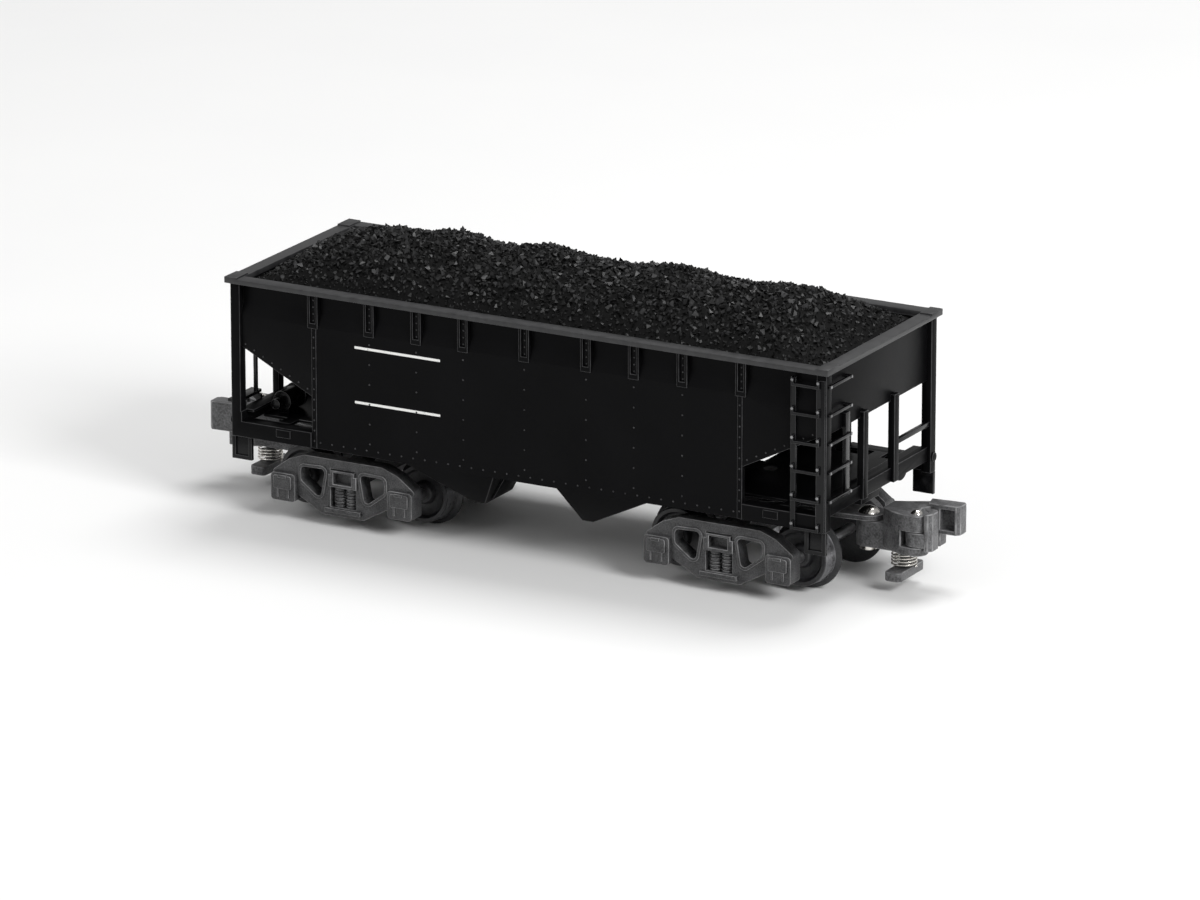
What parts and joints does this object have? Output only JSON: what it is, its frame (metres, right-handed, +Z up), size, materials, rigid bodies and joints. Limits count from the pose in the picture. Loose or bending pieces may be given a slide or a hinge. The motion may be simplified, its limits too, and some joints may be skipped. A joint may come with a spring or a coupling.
{
  "type": "model hopper car",
  "caption": "Open-top hopper car model with outlet bays, swivelling trucks on rolling wheelsets, opening knuckle couplers with sprung lift pins, corner ladders and a lift-out coal load.",
  "frame": {"origin": "under the middle of the car, level with the lowest points of the wheel flanges", "axes": "+X along the car towards end a, +Y across it, +Z up"},
  "size_m": [0.177, 0.0524, 0.062],
  "materials": {
    "body_black": "satin black moulded body",
    "detail_black": "gloss black separate details",
    "truck_plastic": "grainy dark grey moulding",
    "coupler_metal": "dark grey casting",
    "nickel": "bright nickel plate",
    "wheel_black": "blackened wheel with worn tread",
    "steel": "plain steel",
    "coal": "glossy black broken lumps"
  },
  "bodies": {
    "car": {"ballast_weight": "steel", "body_shell": "body_black", "brake_cylinder": "detail_black", "brake_reservoir": "detail_black", "brake_step": "detail_black", "corner_steps": "detail_black", "end_frame_a": "body_black", "end_frame_b": "body_black", "end_grab_a": "detail_black", "end_ladder_a": "detail_black", "end_ladder_b": "detail_black", "hand_brake_housing": "detail_black", "hand_brake_wheel": "detail_black", "hopper_doors": "body_black", "side_ladder_a": "detail_black", "side_ladder_b": "detail_black", "truck_screw_a": "steel", "truck_screw_b": "steel", "underframe": "body_black"},
    "load": {"coal_load": "coal"},
    "truck_a": {"truck_bolster_a": "truck_plastic", "sideframe_near_a": "truck_plastic", "sideframe_far_a": "truck_plastic", "coupler_rivet_a": "nickel"},
    "wheelset_inner_a": {"axle_inner_a": "steel", "wheels_inner_a": "wheel_black"},
    "wheelset_outer_a": {"axle_outer_a": "steel", "wheels_outer_a": "wheel_black"},
    "coupler_a": {"coupler_body_a": "coupler_metal", "knuckle_pin_a": "nickel"},
    "knuckle_unit_a": {"knuckle_a": "coupler_metal"},
    "lift_a": {"lift_pin_a": "coupler_metal", "lift_spring_a": "nickel"},
    "truck_b": {"truck_bolster_b": "truck_plastic", "sideframe_near_b": "truck_plastic", "sideframe_far_b": "truck_plastic", "coupler_rivet_b": "nickel"},
    "wheelset_inner_b": {"axle_inner_b": "steel", "wheels_inner_b": "wheel_black"},
    "wheelset_outer_b": {"axle_outer_b": "steel", "wheels_outer_b": "wheel_black"},
    "coupler_b": {"coupler_body_b": "coupler_metal", "knuckle_pin_b": "nickel"},
    "knuckle_unit_b": {"knuckle_b": "coupler_metal"},
    "lift_b": {"lift_pin_b": "coupler_metal", "lift_spring_b": "nickel"}
  },
  "joints": [
    {"name": "load_lift", "type": "slide", "parent": "car", "child": "load", "axis": [0, 0, 1], "range_m": [0, 0.02]},
    {"name": "truck_a_swivel", "type": "hinge", "parent": "car", "child": "truck_a", "pos_m": [0.0455, 0, 0.0157], "axis": [0, 0, 1], "range_deg": [-12, 12]},
    {"name": "wheelset_inner_a_roll", "type": "hinge", "parent": "truck_a", "child": "wheelset_inner_a", "pos_m": [0.0311, 0, 0.00775], "axis": [0, 1, 0], "continuous": true},
    {"name": "wheelset_outer_a_roll", "type": "hinge", "parent": "truck_a", "child": "wheelset_outer_a", "pos_m": [0.0599, 0, 0.00775], "axis": [0, 1, 0], "continuous": true},
    {"name": "coupler_a_swing", "type": "hinge", "parent": "truck_a", "child": "coupler_a", "pos_m": [0.0689, 0, 0.011], "axis": [0, 0, 1], "range_deg": [-8, 8]},
    {"name": "knuckle_a_open", "type": "hinge", "parent": "coupler_a", "child": "knuckle_unit_a", "pos_m": [0.0816, -0.003, 0.0123], "axis": [0, 0, -1], "range_deg": [0, 40]},
    {"name": "lift_pin_a_rise", "type": "slide", "parent": "coupler_a", "child": "lift_a", "axis": [0, 0, 1], "range_m": [0, 0.0012], "stiffness_N_per_m": 40, "springref_m": -0.0005, "deforming": ["lift_spring_a"]},
    {"name": "truck_b_swivel", "type": "hinge", "parent": "car", "child": "truck_b", "pos_m": [-0.0455, 0, 0.0157], "axis": [0, 0, 1], "range_deg": [-12, 12]},
    {"name": "wheelset_inner_b_roll", "type": "hinge", "parent": "truck_b", "child": "wheelset_inner_b", "pos_m": [-0.0311, 0, 0.00775], "axis": [0, 1, 0], "continuous": true},
    {"name": "wheelset_outer_b_roll", "type": "hinge", "parent": "truck_b", "child": "wheelset_outer_b", "pos_m": [-0.0599, 0, 0.00775], "axis": [0, 1, 0], "continuous": true},
    {"name": "coupler_b_swing", "type": "hinge", "parent": "truck_b", "child": "coupler_b", "pos_m": [-0.0689, 0, 0.011], "axis": [0, 0, 1], "range_deg": [-8, 8]},
    {"name": "knuckle_b_open", "type": "hinge", "parent": "coupler_b", "child": "knuckle_unit_b", "pos_m": [-0.0816, 0.003, 0.0123], "axis": [0, 0, -1], "range_deg": [0, 40]},
    {"name": "lift_pin_b_rise", "type": "slide", "parent": "coupler_b", "child": "lift_b", "axis": [0, 0, 1], "range_m": [0, 0.0012], "stiffness_N_per_m": 40, "springref_m": -0.0005, "deforming": ["lift_spring_b"]}
  ]
}
